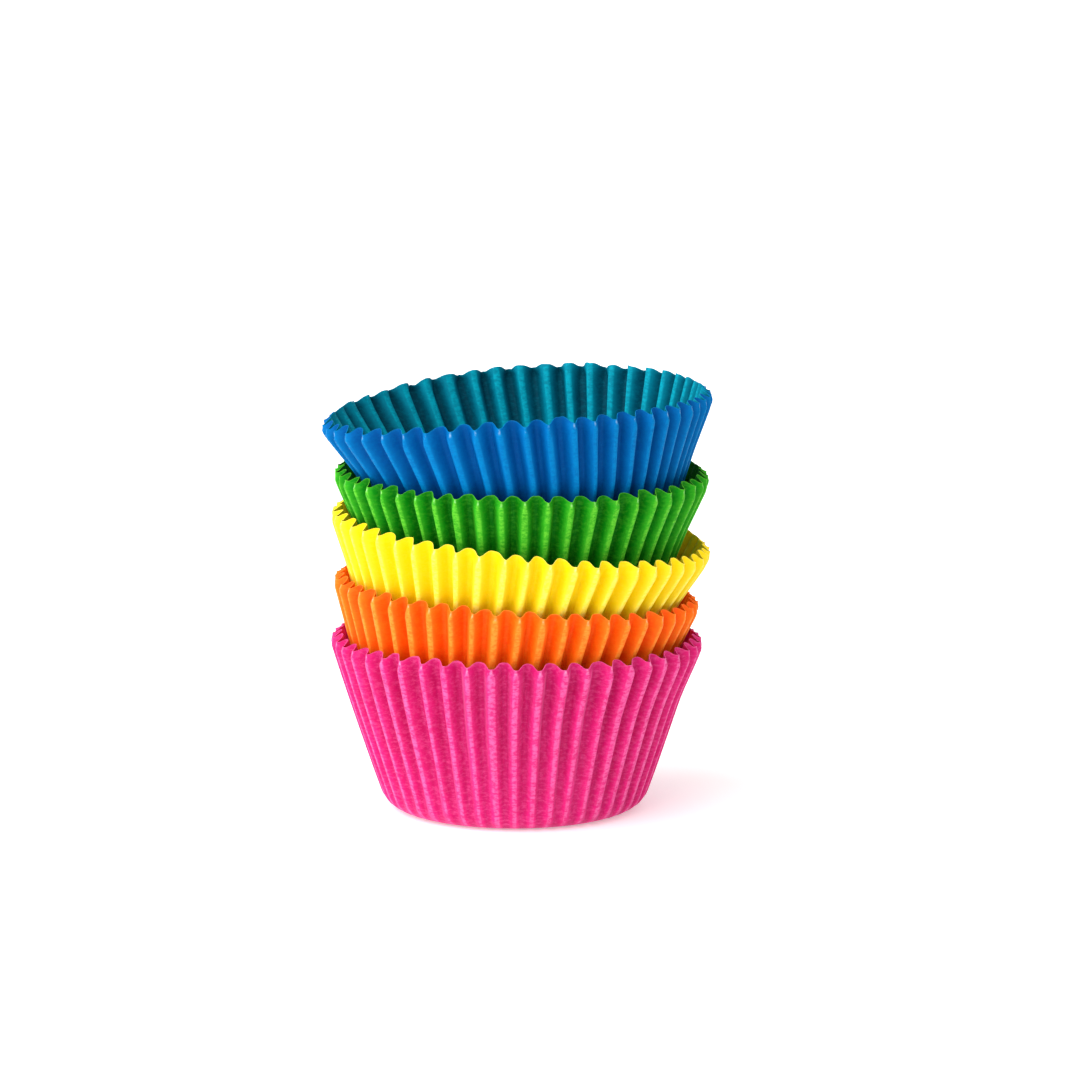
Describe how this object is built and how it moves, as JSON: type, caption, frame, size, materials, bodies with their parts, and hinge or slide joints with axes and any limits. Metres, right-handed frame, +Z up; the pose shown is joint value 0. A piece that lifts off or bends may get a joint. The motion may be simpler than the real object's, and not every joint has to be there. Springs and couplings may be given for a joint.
{
  "type": "stack of cupcake liners",
  "caption": "Leaning stack of nested pleated paper cupcake liners, each a fluted cup with a flat round base and a wavy open rim.",
  "frame": {"origin": "centre of the flat base of the lowest liner, on the surface the stack stands on", "axes": "+Z up along the lowest liner's axis; -Y is the side seen in the picture; +X is to the viewer's right"},
  "size_m": [0.0759, 0.0762, 0.0844],
  "materials": {
    "pink_paper": "matte",
    "orange_paper": "matte",
    "yellow_paper": "matte",
    "green_paper": "matte",
    "blue_paper": "matte"
  },
  "bodies": {
    "root": {"pink_liner": "pink_paper", "orange_liner": "orange_paper", "yellow_liner": "yellow_paper", "green_liner": "green_paper", "blue_liner": "blue_paper"}
  },
  "joints": []
}
